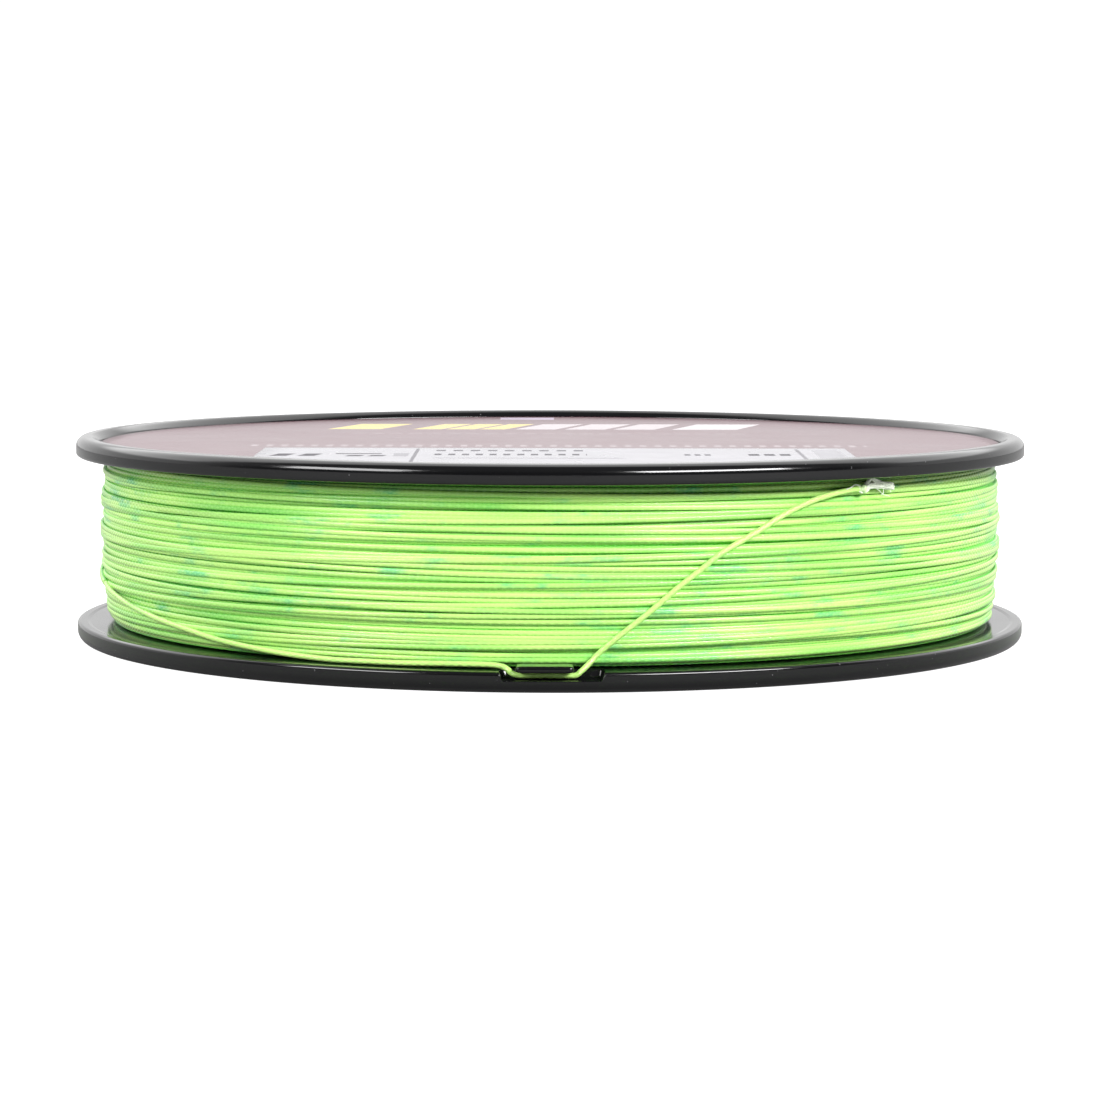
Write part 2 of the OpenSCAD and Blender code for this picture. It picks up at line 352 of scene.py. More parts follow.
# %% The braid weave group
weave_group, g, g_in, g_out = shader_group(
    "braid_weave",
    [("UV", "Vector", None), ("Pitch", "Float", 0.0009), ("Carriers", "Float", 4.0)],
    [("Height", "Float"), ("Crevice", "Float")])
split = g.add("SeparateXYZ", {0: g_in.outputs["UV"]})
turns = g.math("DIVIDE", split.outputs["X"], g_in.outputs["Pitch"])
around = g.math("MULTIPLY", split.outputs["Y"], g_in.outputs["Carriers"])
waves = [g.math("SINE", g.math("MULTIPLY", g.math(way, turns, around), 2 * math.pi))
         for way in ("ADD", "SUBTRACT")]
top_wave = g.math("MAXIMUM", waves[0], waves[1])
g.feed(g_out.inputs["Height"], top_wave)
g.feed(g_out.inputs["Crevice"], g.ramp(top_wave, 0.45, -0.25))
print("group braid_weave")

# %% [markdown]
# ### Dyed line
# The braid is dyed in stretches: yellow-green for most of its length, with short green and
# blue-green dashes. The dashes follow the length of the line, so they are noise along u with a
# little fleck across it. A slow noise over the winding says where they come thicker, and another
# one where the green is deeper.

# %% The dyed line group
dye_group, g, g_in, g_out = shader_group(
    "dyed_line",
    [("UV", "Vector", None), ("Place", "Vector", None), ("Light", "Color", (0.50, 0.85, 0.20, 1)),
     ("Green", "Color", (0.19, 0.66, 0.10, 1)), ("Teal", "Color", (0.05, 0.52, 0.22, 1))],
    [("Color", "Color"), ("Dash mask", "Float")])
along_u = g.add("SeparateXYZ", {0: g_in.outputs["UV"]}).outputs["X"]
dash_at = g.add("CombineXYZ", {"X": g.math("MULTIPLY", along_u, 125.0)}).outputs[0]
tint_at = g.add("CombineXYZ", {"X": g.math("MULTIPLY", along_u, 41.0), "Y": 7.3}).outputs[0]
shade_at = g.add("CombineXYZ", {"X": g.math("MULTIPLY", along_u, 11.0), "Y": 3.1}).outputs[0]
crowd_at = g.stretched(g_in.outputs["Place"], (110, 110, 260))
crowd = g.ramp(g.noise(crowd_at, 1.0, 2.0), 0.42, 0.64)
fleck_at = g.stretched(g_in.outputs["UV"], (800, 2.2, 1))
fleck = g.math("SUBTRACT", g.noise(fleck_at, 1.0, 2.0), 0.5)
threshold = g.math("SUBTRACT", 0.65, g.math("MULTIPLY", crowd, 0.13))
dash_wave = g.noise(dash_at, 1.0, 3.0, 0.6)
strength = g.math("MULTIPLY_ADD", fleck, 0.22, g.math("SUBTRACT", dash_wave, threshold))
dash = g.ramp(strength, -0.09, 0.17)
patch_at = g.stretched(g_in.outputs["Place"], (50, 50, 190))
patch = g.ramp(g.noise(patch_at, 1.0, 1.0), 0.48, 0.68, 0.0, 0.35)
green = g.math("ADD", g.ramp(g.noise(tint_at, 1.0, 1.0), 0.54, 0.68, 0.0, 0.5), patch)
tone = g.ramp(g.noise(shade_at, 1.0, 2.0), 0.30, 0.70, 0.86, 1.10)
base = g.mix(green, g_in.outputs["Light"], g_in.outputs["Green"])
dyed = g.mix(g.math("MULTIPLY", dash, 0.80), base, g_in.outputs["Teal"])
toned = g.add("VectorMath", {0: dyed, "Scale": tone}, operation="SCALE").outputs[0]
g.feed(g_out.inputs["Color"], toned)
g.feed(g_out.inputs["Dash mask"], dash)
print("group dyed_line")

# %% [markdown]
# ### Printed bars
# All print on the labels is plain bars, with no lettering. One group draws a row of slanted bars
# inside a box: a point is inked if it is inside the box and its place along the row, divided by the
# pitch, has a fraction below the duty.

# %% The printed bars group
bars_group, g, g_in, g_out = shader_group(
    "printed_bars",
    [("Vector", "Vector", None), ("Centre X", "Float", 0.0), ("Centre Y", "Float", 0.0),
     ("Width", "Float", 0.02), ("Height", "Float", 0.003), ("Pitch", "Float", 0.004),
     ("Duty", "Float", 0.6), ("Slant", "Float", 0.0)],
    [("Mask", "Float")])
place = g.add("SeparateXYZ", {0: g_in.outputs["Vector"]})
off_y = g.math("SUBTRACT", place.outputs["Y"], g_in.outputs["Centre Y"])
lean = g.math("MULTIPLY", off_y, g_in.outputs["Slant"])
off_x = g.math("SUBTRACT", g.math("SUBTRACT", place.outputs["X"], g_in.outputs["Centre X"]), lean)
in_x = g.math("LESS_THAN", g.math("ABSOLUTE", off_x), g.math("MULTIPLY", g_in.outputs["Width"], 0.5))
in_y = g.math("LESS_THAN", g.math("ABSOLUTE", off_y), g.math("MULTIPLY", g_in.outputs["Height"], 0.5))
from_start = g.math("MULTIPLY_ADD", g_in.outputs["Width"], 0.5, off_x)
in_bar = g.math("LESS_THAN", g.math("FRACT", g.math("DIVIDE", from_start, g_in.outputs["Pitch"])),
                g_in.outputs["Duty"])
g.feed(g_out.inputs["Mask"], g.math("MULTIPLY", g.math("MULTIPLY", in_x, in_y), in_bar))
print("group printed_bars")


def place_group(n, group, **inputs):
    """Puts a group into a material; names with spaces are written with underscores."""
    made = n.add("Group")
    made.node_tree = group
    for key, value in inputs.items():
        n.feed(made.inputs[key.replace("_", " ")], value)
    return made.outputs


# %% [markdown]
# ## Finishes
# Glossy black moulded plastic: almost no colour of its own, so what shows is its reflection, the
# soft orange-peel of the moulding, hairlines and dust.

# %% Black moulded plastic


def black_plastic(name, hairlines=1.0, dust=1.0):
    """Roughness is 0.13, plus the change of gloss, plus more where there is dust or a hairline."""
    material, n, shader = new_material(name, (0.004, 0.004, 0.0045), 0.13, IOR=1.48)
    spot = n.add("TexCoord").outputs["Object"]
    wear = place_group(n, wear_group, Vector=spot, Hairlines=hairlines, Dust=dust)
    n.feed(shader.inputs["Base Color"], n.mix(
        wear["Dust mask"], (0.004, 0.004, 0.0045, 1), (0.10, 0.10, 0.105, 1)))
    rough = n.math("MULTIPLY_ADD", wear["Gloss shift"], 0.16, 0.13)
    rough = n.math("ADD", rough, n.math("MULTIPLY", wear["Dust mask"], 0.3))
    n.feed(shader.inputs["Roughness"], n.math("ADD", rough, n.math("MULTIPLY", wear["Height"], 0.08)))
    peel = n.noise(spot, 900.0, 2.0)
    height = n.math("SUBTRACT", n.math("MULTIPLY", peel, 0.35), n.math("MULTIPLY", wear["Height"], 0.3))
    bump = n.add("Bump", {"Height": height, "Strength": 0.12, "Distance": 0.00006})
    n.feed(shader.inputs["Normal"], bump.outputs[0])
    return material


plastic = black_plastic("black_moulded_plastic")
tongue_plastic = black_plastic("black_tongue_plastic", hairlines=0.6, dust=0.5)
print("plastic finishes")

# %% [markdown]
# Braided line: a waxy coat over fine fibres. The dye sets the colour, the weave raises the carriers
# and its crevices are painted a darker green as shade, and a faint sheen stands for the loose
# fibres. On the winding the flanks of a strand are painted a deeper green as shade, because light
# reaches them through its neighbours. The cut end has lost its wax and most of its dye, so it is
# mixed with white.

# %% Braid finishes


def braid(name, pitch=0.0009, weave=1.0, whiteness=0.0, flank_shade=0.0, **dyes):
    """flank_shade is painted shade: how far the sides of a strand turn green, by the cosine of the angle
    round it.
    """
    material, n, shader = new_material(name, (0.50, 0.85, 0.20), 0.28, IOR=1.6, Sheen_Weight=0.1)
    way = n.add("UVMap", uv_map="UVMap").outputs[0]
    spot = n.add("TexCoord").outputs["Object"]
    dye = place_group(n, dye_group, UV=way, Place=spot, **dyes)
    woven = place_group(n, weave_group, UV=way, Pitch=pitch)
    # Painted shade: the crevices of the weave are mixed towards a darker green, (0.30, 0.68, 0.08).
    crevice_shade = n.math("MULTIPLY", woven["Crevice"], 0.42 * weave)
    shaded_dye = n.mix(crevice_shade, dye["Color"], (0.30, 0.68, 0.08, 1))
    # Painted shade: the sides and inner face of a strand are mixed towards a deeper green, (0.10, 0.62,
    # 0.05).
    round_it = n.add("SeparateXYZ", {0: way}).outputs["Y"]
    facing = n.math("COSINE", n.math("MULTIPLY", round_it, 2 * math.pi))
    flank = n.math("MULTIPLY", n.ramp(facing, 0.75, 0.1), flank_shade)
    shaded_dye = n.mix(flank, shaded_dye, (0.10, 0.62, 0.05, 1))
    n.feed(shader.inputs["Base Color"], n.mix(whiteness, shaded_dye, (0.92, 0.95, 0.84, 1)))
    n.feed(shader.inputs["Roughness"], n.math("MULTIPLY_ADD", woven["Crevice"], 0.2, 0.25))
    fibre = n.noise(n.stretched(way, (9000, 40, 1)), 1.0, 2.0)
    height = n.math("MULTIPLY_ADD", fibre, 0.35, woven["Height"])
    bump = n.add("Bump", {"Height": height, "Strength": 0.55 * weave, "Distance": 0.00005})
    n.feed(shader.inputs["Normal"], bump.outputs[0])
    return material


wound_braid = braid("wound_braid", weave=0.4, flank_shade=0.8)
free_braid = braid("free_braid", weave=0.7, Light=(0.55, 0.88, 0.22, 1), Green=(0.50, 0.86, 0.20, 1),
                   Teal=(0.40, 0.82, 0.18, 1))
frayed_braid = braid("frayed_braid", weave=0.3, whiteness=0.9)
knot_braid = braid("knot_braid", weave=0.6, whiteness=0.42)
# Painted shade: the line under the outer strands gets darker greens, for the shade in the gaps between
# them.
shaded_core_braid = braid("shaded_core_braid", weave=1.0, Light=(0.16, 0.78, 0.06, 1), Green=(0.12, 0.62, 0.04, 1),
                   Teal=(0.05, 0.45, 0.12, 1))
print("braid finishes")

# %% [markdown]
# Labels: coated paper, printed and glossy. Almost edge-on it works like a mirror, so it needs its
# gloss as much as its ink. The print is made of plain bars only: on the top label two groups of slanted
# blocks, two fine rows and a pale patch near the far edge, on the sticker small dark marks.

# %% Printed label finishes
YELLOW, WHITE = (0.85, 0.70, 0.12, 1), (0.85, 0.82, 0.84, 1)
LILAC, INK = (0.50, 0.42, 0.56, 1), (0.06, 0.055, 0.065, 1)


def printed_label(name, ground, marks, roughness):
    """marks is a list of (colour, strength, bar settings); dark ink is also more matt than the film."""
    material, n, shader = new_material(name, ground[:3], roughness, IOR=1.5)
    spot = n.add("TexCoord").outputs["Object"]
    wear = place_group(n, wear_group, Vector=spot, Hairlines=0.5, Dust=0.5)
    mottle = n.ramp(n.noise(spot, 240.0, 4.0, 0.6), 0.3, 0.7, 0.95, 1.04)
    inked = n.add("VectorMath", {0: ground[:3], "Scale": mottle}, operation="SCALE").outputs[0]
    matt = 0.0
    for colour, strength, bars in marks:
        cover = n.math("MULTIPLY", place_group(n, bars_group, Vector=spot, **bars)["Mask"], strength)
        inked = n.mix(cover, inked, colour)
        if colour == INK:
            matt = n.math("MAXIMUM", matt, cover)
    n.feed(shader.inputs["Base Color"], n.mix(
        n.math("MULTIPLY", wear["Dust mask"], 0.6), inked, (0.7, 0.68, 0.68, 1)))
    gloss = n.math("MULTIPLY_ADD", wear["Gloss shift"], 0.12, roughness)
    n.feed(shader.inputs["Roughness"], n.math("MULTIPLY_ADD", matt, 0.55, gloss))
    tooth = n.math("MULTIPLY_ADD", n.noise(spot, 1500.0, 3.0), 0.5, n.noise(spot, 60.0, 1.0))
    bump = n.add("Bump", {"Height": tooth, "Strength": 0.10, "Distance": 0.0001})
    n.feed(shader.inputs["Normal"], bump.outputs[0])
    return material


def bar_box(x0, x1, y0, y1, pitch, duty, slant=0.0):
    """Bar settings for a box from its edges, all in millimetres."""
    return dict(Centre_X=(x0 + x1) / 2 * MM, Centre_Y=(y0 + y1) / 2 * MM, Width=(x1 - x0) * MM,
                Height=(y1 - y0) * MM, Pitch=pitch * MM, Duty=duty, Slant=slant)


top_print = printed_label("top_label_print", (0.088, 0.010, 0.025, 1), [
    (YELLOW, 0.6, bar_box(-25.7, -19.2, 22, 34, 6.6, 1.0, 0.3)),
    (YELLOW, 0.6, bar_box(-15.2, -3.8, 22, 34, 4.1, 0.86, 0.3)),
    (WHITE, 0.45, bar_box(-2.6, 15.0, 22, 34, 6.1, 0.82, 0.3)),
    (WHITE, 0.55, bar_box(16.8, 24.8, 22, 34, 8.4, 1.0, 0.3)),
    (WHITE, 0.12, bar_box(-24, 24, 12.5, 13.6, 2.3, 0.7)),
    (LILAC, 0.7, bar_box(-6.5, 0.5, 44.5, 49.5, 7.2, 1.0)),
    (WHITE, 0.22, bar_box(-34, 36, -12.4, -9.6, 1.7, 0.45)),
], 0.24)
sticker_print = printed_label("size_sticker_print", (0.30, 0.291, 0.315, 1), [
    (INK, 1.00, bar_box(-30.0, -24.4, -31.2, -27.2, 3.0, 0.62, 0.2)),
    (INK, 0.85, bar_box(-23.4, -18.4, -28.0, -26.4, 5.2, 1.0)),
    (INK, 1.00, bar_box(-22.0, -17.4, -31.6, -29.6, 2.4, 0.72, 0.2)),
    (INK, 0.45, bar_box(-17.0, -15.4, -31.6, -26.4, 1.7, 1.0)),
    (INK, 0.70, bar_box(-14.9, -14.5, -44.0, -18.5, 1.0, 1.0)),
    (INK, 0.85, bar_box(-12.6, 4.0, -22.6, -20.4, 1.9, 0.55)),
    (INK, 0.90, bar_box(-12.6, 4.0, -29.6, -27.0, 1.5, 0.52)),
    (INK, 0.40, bar_box(-12.6, 8.0, -35.0, -33.6, 21.0, 1.0)),
    (INK, 0.90, bar_box(14.6, 17.9, -29.6, -27.4, 1.1, 0.6)),
    (INK, 1.00, bar_box(21.6, 26.2, -29.6, -26.8, 1.7, 0.68)),
    (INK, 0.65, bar_box(27.2, 27.6, -38.0, -18.5, 1.0, 1.0)),
    (INK, 0.28, bar_box(29.0, 32.0, -33.0, -19.5, 3.2, 1.0)),
], 0.26)
lower_print = printed_label("lower_label_print", (0.62, 0.61, 0.63, 1), [
    (INK, 0.7, bar_box(-22, 22, 26, 31, 3.4, 0.6, 0.3)),
    (INK, 0.5, bar_box(-26, 26, -27, -25.8, 2.1, 0.7)),
    (INK, 0.5, bar_box(-26, 26, -31, -29.8, 2.6, 0.7)),
    (INK, 0.6, bar_box(-14, 14, -42, -36, 0.9, 0.45)),
], 0.34)
print("label finishes")

# %% [markdown]
# The arbor tape keeps the first turns from slipping on the drum. It is covered by the winding, but
# it is a real piece, so the CAD solid gets crepe paper: fine ridges across the strip, with painted
# shade making the paper darker between them.

# %% Crepe paper finish
crepe, n, shader = new_material("crepe_tape", (0.72, 0.62, 0.40), 0.72)
spot = n.add("TexCoord").outputs["Object"]
ridges = n.noise(n.stretched(spot, (2600, 2600, 90)), 1.0, 3.0)
# Painted shade: the paper is darker where the ridges are low and paler on their tops.
paper = n.mix(n.ramp(ridges, 0.3, 0.7), (0.56, 0.46, 0.27, 1), (0.80, 0.71, 0.50, 1))
n.feed(shader.inputs["Base Color"], paper)
bump = n.add("Bump", {"Height": ridges, "Strength": 0.6, "Distance": 0.00008})
n.feed(shader.inputs["Normal"], bump.outputs[0])
tape = bpy.data.objects["arbor_tape"]
tape.data.materials.clear()
tape.data.materials.append(crepe)
print("arbor tape has", tape.data.materials[0].name)

# %% [markdown]
# ## The free end of the line
# A braid is round and slightly ribbed. The tube's rings stand square to the route: the first axis
# points away from the spool's axis, with its part along the route taken out, so the rings never
# twist. The radius sinks a little wherever neither family of carriers is on top.

# %% Sweep the free end


def path_frames(path):
    """Along, outward and across at each point; outward is the direction from the spool's axis."""
    along = np.gradient(path, axis=0)
    along /= np.linalg.norm(along, axis=1, keepdims=True)
    outward = path * [1, 1, 0]
    outward = outward - (outward * along).sum(1, keepdims=True) * along
    outward /= np.linalg.norm(outward, axis=1, keepdims=True)
    return along, outward, np.cross(along, outward)


def sweep(path, out_half, cross_half, sides):
    """Rings centre + out_half cos(a) outward + cross_half sin(a) across; halves are numbers or grids."""
    _, outward, across = path_frames(path)
    a = 2 * np.pi * np.arange(sides) / sides
    out_part = (out_half * np.cos(a))[..., None] * outward[:, None]
    return path[:, None] + out_part + (cross_half * np.sin(a))[..., None] * across[:, None]


def strand_uv(along, sides):
    """u is the length along the strand in metres, v goes from 0 to 1 round it."""
    return np.stack(np.broadcast_arrays(along[:, None], np.arange(sides) / sides), axis=-1)


END_SIDES, END_CARRIERS, END_PITCH = 16, 4, 1.1 * MM
turn_a = 2 * np.pi * end_along[:, None] / END_PITCH
turn_b = END_CARRIERS * 2 * np.pi * np.arange(END_SIDES) / END_SIDES
carriers = np.maximum(np.sin(turn_a + turn_b), np.sin(turn_a - turn_b))
end_radius = LINE_D / 2 * (0.985 + 0.02 * carriers)
line_end = tube_mesh("line_end_braid", sweep(end_path, end_radius, end_radius, END_SIDES),
                     strand_uv(end_along, END_SIDES))
finish_piece(line_end, "spool", free_braid)
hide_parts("line_end")

# %% [markdown]
# ### The knot
# An overhand knot pulled tight in a braid is a lump about twice as thick as the line: nearly two
# turns round the line, drawn close. The curve goes along the knot's axis and makes its turns in the
# middle. Its rings are carried without twist: each ring's axis is the last one's with the part
# along the new direction taken out.

# %% Tie the knot
KNOT_AT = LINE_ROUTE[-1]
knot_t, knot_n, _ = path_frames(np.stack([KNOT_AT, (KNOT_AT + KNOT_TIP) / 2, KNOT_TIP]))
KNOT_AXES = np.stack([knot_t[0], knot_n[0], [0, 0, 1]])


def by_knot(points):
    """Points given along the knot's axis, outwards and upwards, in millimetres, put in place."""
    return KNOT_AT + np.asarray(points) * MM @ KNOT_AXES


def untwisted_rings(path, radius, sides):
    """Rings round a path whose first axis is carried along it without twisting."""
    along = np.gradient(path, axis=0)
    along /= np.linalg.norm(along, axis=1, keepdims=True)
    axis = np.cross(along[0], [0.3, 0.5, 0.81])
    axes = []
    for way in along:
        axis = axis - axis @ way * way
        axis = axis / np.linalg.norm(axis)
        axes.append(axis)
    first = np.array(axes)
    second = np.cross(along, first)
    a = 2 * np.pi * np.arange(sides) / sides
    rings = np.cos(a)[:, None] * first[:, None] + np.sin(a)[:, None] * second[:, None]
    return path[:, None] + np.reshape(radius, (-1, 1, 1)) * rings


KNOT_TURNS, KNOT_LOOP_R = 1.75, 0.27
s = np.linspace(0, 1, 120)
wrap = np.clip((s - 0.22) / 0.56, 0, 1)
wrap_angle = 2 * np.pi * KNOT_TURNS * wrap - 1.1
wrap_r = KNOT_LOOP_R * np.sin(np.pi * wrap) ** 0.35
knot_line = np.stack([-0.35 + 1.55 * s + 0.30 * np.sin(2 * np.pi * wrap),
                      wrap_r * np.cos(wrap_angle) + 0.05, wrap_r * np.sin(wrap_angle)], axis=1)
knot_path, knot_along = evenly(by_knot(knot_line), 0.05 * MM)
knot_swell = 0.23 + 0.06 * np.sin(np.pi * np.linspace(0, 1, len(knot_path)))
end_knot = tube_mesh("end_knot_braid", untwisted_rings(knot_path, knot_swell * MM, 12),
                     strand_uv(knot_along, 12))
finish_piece(end_knot, "spool", knot_braid)
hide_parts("end_knot")

# %% [markdown]
# ### The frayed tip
# Beyond the knot the cut end opens into its fibres. Most run side by side to one blunt cut; a tuft
# stands up near the knot, a few stray fibres hang down, and four stand off as a small loop before
# the knot. Each fibre is a curve through four or five places, with a little seeded scatter.

# %% Fray the tip
rng = np.random.default_rng(11)


def bundle_mesh(name, paths, radius, sides=5):
    """One mesh of many fine tubes; paths is an array (fibres, points, 3)."""
    rings = np.stack([untwisted_rings(p, radius, sides) for p in paths])
    count, rows = rings.shape[:2]
    quads = grid_quads(rows, sides, False, True)
    first = np.arange(count)[:, None, None] * rows * sides
    k = np.arange(1, sides - 1)
    start = np.stack([np.zeros_like(k), k + 1, k], axis=1)
    stop = np.stack([np.zeros_like(k), k, k + 1], axis=1) + (rows - 1) * sides
    caps = np.concatenate([start, stop])
    ahead = np.linalg.norm(np.diff(rings.mean(2), axis=1), axis=2).cumsum(1)
    u = np.pad(ahead, ((0, 0), (1, 0)))[:, :, None] + rng.uniform(0, 0.2, (count, 1, 1))
    uv = np.stack(np.broadcast_arrays(u, np.arange(sides) / sides), axis=-1)
    return build_mesh(name, rings.reshape(-1, 3), (quads + first).reshape(-1, 4),
                      (caps + first).reshape(-1, 3), uv.reshape(-1, 2))


def fibres(stations, spread, count, rows=18):
    """count curves through the stations (millimetres by the knot), each shifted by its own scatter."""
    stations, spread = np.array(stations, float), np.array(spread, float)
    shift = rng.uniform(-1, 1, (count, 1, 3)) * 0.75 + rng.normal(0, 0.12, (count, len(stations), 3))
    knots = stations + shift * spread[:, None] * [0.0, 1.0, 1.0]
    knots[:, -1, 0] += rng.uniform(-0.12, 0.0, count)
    curves = np.stack([catmull_rom(k, 6) for k in knots])
    at = np.linspace(0, curves.shape[1] - 1, rows)
    low = np.minimum(at.astype(int), curves.shape[1] - 2)
    part = (at - low)[None, :, None]
    return by_knot(curves[:, low] * (1 - part) + curves[:, low + 1] * part)


tip_places = [[0.3, 0, 0], [1.3, 0.05, 0.22], [2.6, 0.1, 0.30], [3.8, 0.05, 0.16], [4.75, 0, 0.05]]
tip_fibres = fibres(tip_places, [0.22, 0.36, 0.44, 0.46, 0.50], 150)
tuft_places = [[0.4, 0, 0.1], [0.95, 0.1, 0.48], [1.40, 0.15, 0.98], [2.0, 0.15, 0.74], [3.0, 0.1, 0.42]]
tuft = fibres(tuft_places, [0.16, 0.28, 0.17, 0.30, 0.3], 54)
under = fibres([[-0.3, 0, -0.1], [0.1, 0.1, -0.36], [0.75, 0.1, -0.32], [1.5, 0.1, 0.02]],
               [0.14, 0.18, 0.16, 0.12], 22)
loop_places = [[-2.1, 0, 0.02], [-1.5, 0.1, 0.20], [-1.0, 0.15, 0.46], [-0.5, 0.15, 0.44], [0.1, 0.1, 0.15]]
loop = fibres(loop_places, [0.05, 0.08, 0.07, 0.07, 0.1], 4)
stray = np.concatenate([
    fibres([[1.9, 0.2, 0.05], [2.5, 0.35, -0.30], [3.0, 0.4, -0.72], [4.1, 0.35, -0.98]],
           [0.03, 0.05, 0.06, 0.10], 2),
    fibres([[3.2, 0.25, 0.1], [3.15, 0.35, -0.25], [3.05, 0.4, -0.60], [2.85, 0.35, -0.80]],
           [0.03, 0.05, 0.05, 0.06], 2),
    fibres([[4.2, 0.2, -0.1], [4.25, 0.3, -0.35], [4.2, 0.35, -0.5], [4.3, 0.3, -0.62]],
           [0.03, 0.04, 0.05, 0.05], 1)])
fray = bundle_mesh("end_fray_fibres", np.concatenate([tip_fibres, tuft, under]), 0.05 * MM)
finish_piece(fray, "spool", frayed_braid)
loose_fibres = bundle_mesh("end_loose_fibres", np.concatenate([loop, stray]), 0.035 * MM)
finish_piece(loose_fibres, "spool", frayed_braid)
print("free end declared:", round(float(end_along[-1]), 4), "m")

# %% [markdown]
# ## The winding
# A machine winds the line on at a steady speed while a guide runs up and down, so on the outside
# the strands lie almost level, some crossing others at a very low angle. A ring with a painted
# pattern would look flat, so the outer turns are one real strand: its height follows the guide,
# and its radius is whatever the strands under it leave.
# ### Where the guide puts the line

# %% Height along the line
PER_TURN = 240
STRAND_W, STRAND_T, FLANGE_GAP = 0.60, 0.42, 0.12
exit_angle = math.atan2(end_path[0][1], end_path[0][0])
exit_r = math.hypot(end_path[0][0], end_path[0][1]) / MM
exit_z = end_path[0][2] / MM
low, high = PACK_LOW / MM + STRAND_W / 2 + FLANGE_GAP, PACK_HIGH / MM - STRAND_W / 2
LEGS = [(31, low, high), (23.6, high, low), (6.2, low, high), (5.1, high, low), (4.2, low, high),
        (2.9, high, exit_z + 3.0), (0.12, exit_z + 3.0, exit_z)]


def guide_height(turns_at):
    """z is straight between the ends of the guide's legs, plus a slow uneven wander."""
    stops = np.concatenate([[0], np.cumsum([leg[0] for leg in LEGS])])
    z = np.interp(turns_at, stops, [LEGS[0][1]] + [leg[2] for leg in LEGS])
    waves = [(0.37, 0.16, 0.3), (1.3, 0.085, 1.9), (2.1, 0.055, 4.0), (3.7, 0.03, 2.2)]
    wander = sum(size * np.sin(2 * np.pi * rate * turns_at + lag) for rate, size, lag in waves)
    fade = np.clip((stops[-1] - turns_at) / 0.35, 0, 1)
    return np.clip(z + wander * fade, low, high)


def smoothed(values, reach=24, width=9.0):
    """Mean of each value's neighbours, k rows away, with the weights exp(-(k / width)^2 / 2)."""
    weights = np.exp(-0.5 * (np.arange(-reach, reach + 1) / width) ** 2)
    return np.convolve(np.pad(values, reach, mode="edge"), weights / weights.sum(), mode="valid")


turn_count = int(np.ceil(sum(leg[0] for leg in LEGS)))
turns_at = sum(leg[0] for leg in LEGS) - (np.arange(turn_count * PER_TURN)[::-1]) / PER_TURN
angle = exit_angle + 2 * np.pi * (turns_at - turns_at[-1])
height = guide_height(turns_at)
keep = np.clip((turns_at[-1] - turns_at) / 0.2, 0, 1)
height = smoothed(height) * keep + height * (1 - keep)
print("turns", turn_count, "pitch of the first leg", round((high - low) / LEGS[0][0], 3), "mm")

# %% [markdown]
# ### How high each turn lies
# A strand that crosses another rides over it: at the same angle, with the two a height dz apart,
# its radius is at least the other's plus the thickness times sqrt(1 - (dz / width)^2). Strands
# squeeze into each other, so that thickness and width are less than the strand's own. Turns are
# laid down one at a time, each a whole row of angles, over all the turns before it.

# %% Lay the turns on each other


def crown(z):
    """Radius of the full winding at height z, in millimetres: a low crown, falling off as a square."""
    return PACK_R / MM - 0.8 * ((z - 12.5) / 10) ** 2


NESTED_T, NESTED_W, UNEVEN_EVERY = 0.27, 0.52, 40
FIRST_MOST, LATER_MOST = 0.25 * NESTED_T, 2.2 * NESTED_T
rows = height.reshape(turn_count, PER_TURN)
first_turns = int(LEGS[0][0])
scatter = np.random.default_rng(5).normal(0, 1, turn_count * PER_TURN // UNEVEN_EVERY + 2)
scatter_at = np.arange(turn_count * PER_TURN) / UNEVEN_EVERY
uneven = np.interp(scatter_at, np.arange(len(scatter)), scatter)
lift = np.zeros_like(rows)
for k in range(1, turn_count):
    gap = np.abs(rows[:k] - rows[k]) / NESTED_W
    over = lift[:k] + NESTED_T * np.sqrt(np.clip(1 - gap**2, 0, 1))
    lift[k] = np.where(gap < 1, over, 0).max(axis=0)
    lift[k] = np.minimum(lift[k], FIRST_MOST if k <= first_turns else LATER_MOST)
smooth_lift = smoothed(lift.ravel() + 0.035 * uneven)
full_lift = np.percentile(smooth_lift, 97)
radius = crown(height) - STRAND_T / 2 + smooth_lift
radius -= full_lift
join = np.clip((turns_at[-1] - turns_at) / 0.16, 0, 1)
join = join * join * (3 - 2 * join)
radius = radius * join + exit_r * (1 - join)
print("lift", round(float(smooth_lift.min()), 2), "to", round(float(smooth_lift.max()), 2), "mm")

# %% [markdown]
# ### The strands and the core under them
# The strand is flattened by the winding: 0.60 mm high and 0.42 mm thick. It is cut into three
# pieces only to keep each mesh a handy size. Under it lies the rest of the line as one ring, painted
# a dark green as the shade between the strands, whose own ripples stand for the turns that hardly
# show.

# %% Build the winding
STRAND_SIDES, STRAND_SQUARE = 8, 0.65
CORE_R = 43.46      # just outside the tape on the drum
line_points = np.stack([radius * np.cos(angle), radius * np.sin(angle), height], axis=1) * MM
line_along = np.concatenate([[0], np.cumsum(np.linalg.norm(np.diff(line_points, axis=0), axis=1))])
around = 2 * np.pi * np.arange(STRAND_SIDES) / STRAND_SIDES
last_stretch = [turns_at[-1] - 0.05, turns_at[-1]]
halves = np.interp(turns_at, last_stretch, [STRAND_T / 2, LINE_D / MM / 2])
section_r = np.sign(np.cos(around)) * np.abs(np.cos(around)) ** STRAND_SQUARE
section_z = np.sign(np.sin(around)) * np.abs(np.sin(around)) ** STRAND_SQUARE
reach = radius[:, None] + halves[:, None] * section_r
strand_rings = np.stack([reach * np.cos(angle)[:, None], reach * np.sin(angle)[:, None],
                         height[:, None] + STRAND_W / 2 * section_z], axis=-1) * MM
cuts = [0, 26 * PER_TURN, 52 * PER_TURN, len(strand_rings)]
